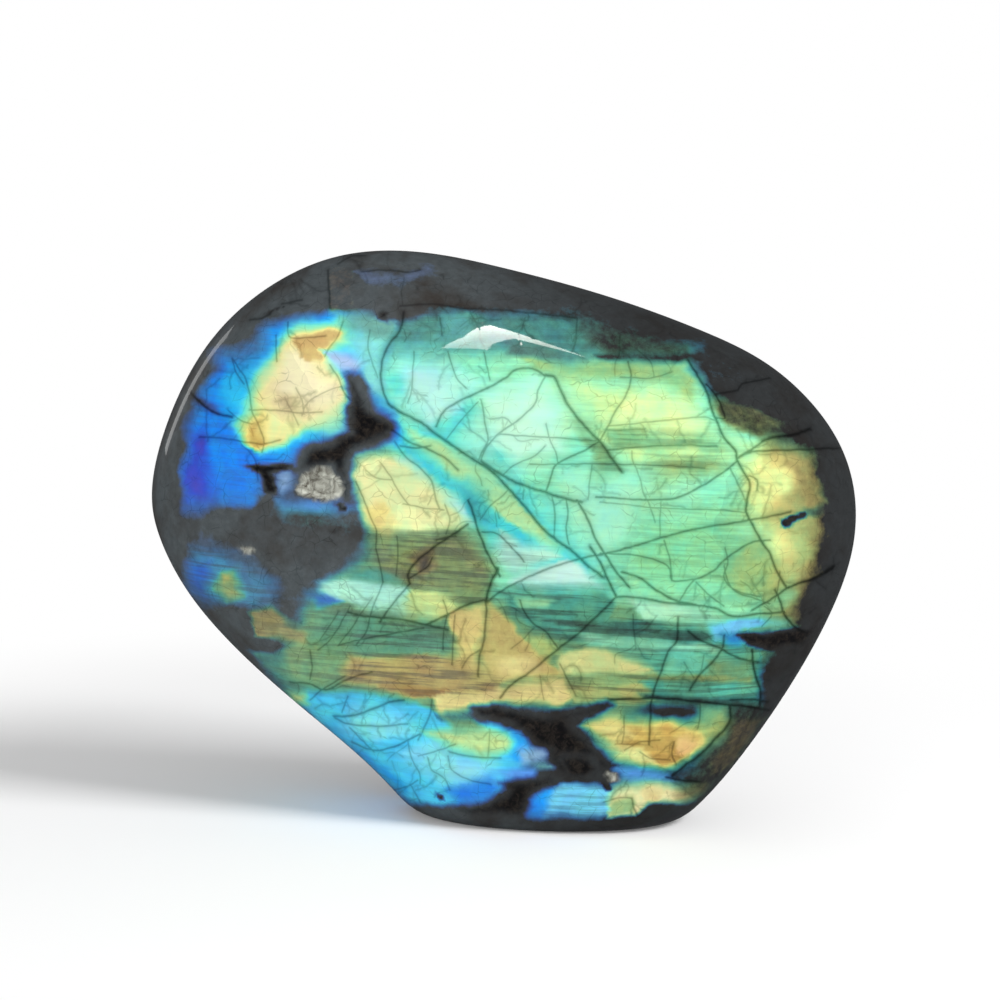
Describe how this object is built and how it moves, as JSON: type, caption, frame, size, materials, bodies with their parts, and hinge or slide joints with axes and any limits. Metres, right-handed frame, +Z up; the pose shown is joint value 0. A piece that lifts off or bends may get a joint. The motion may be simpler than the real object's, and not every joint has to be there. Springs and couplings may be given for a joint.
{
  "type": "polished free-form labradorite stone",
  "caption": "Slab-like labradorite stone with a rounded free-form outline and polished faces; a sawn flat lets it stand upright on a shelf for display.",
  "frame": {"origin": "middle of the bounding box, on the plane of the sawn flat", "axes": "+X along the width, to the right as seen from the front; +Y through the thickness, from the front face to the back; +Z up, away from the sawn flat"},
  "size_m": [0.12, 0.0392, 0.0944],
  "materials": {
    "labradorite": "polished, with a blue, green and gold sheen"
  },
  "bodies": {
    "root": {"labradorite_stone": "labradorite"}
  },
  "joints": []
}
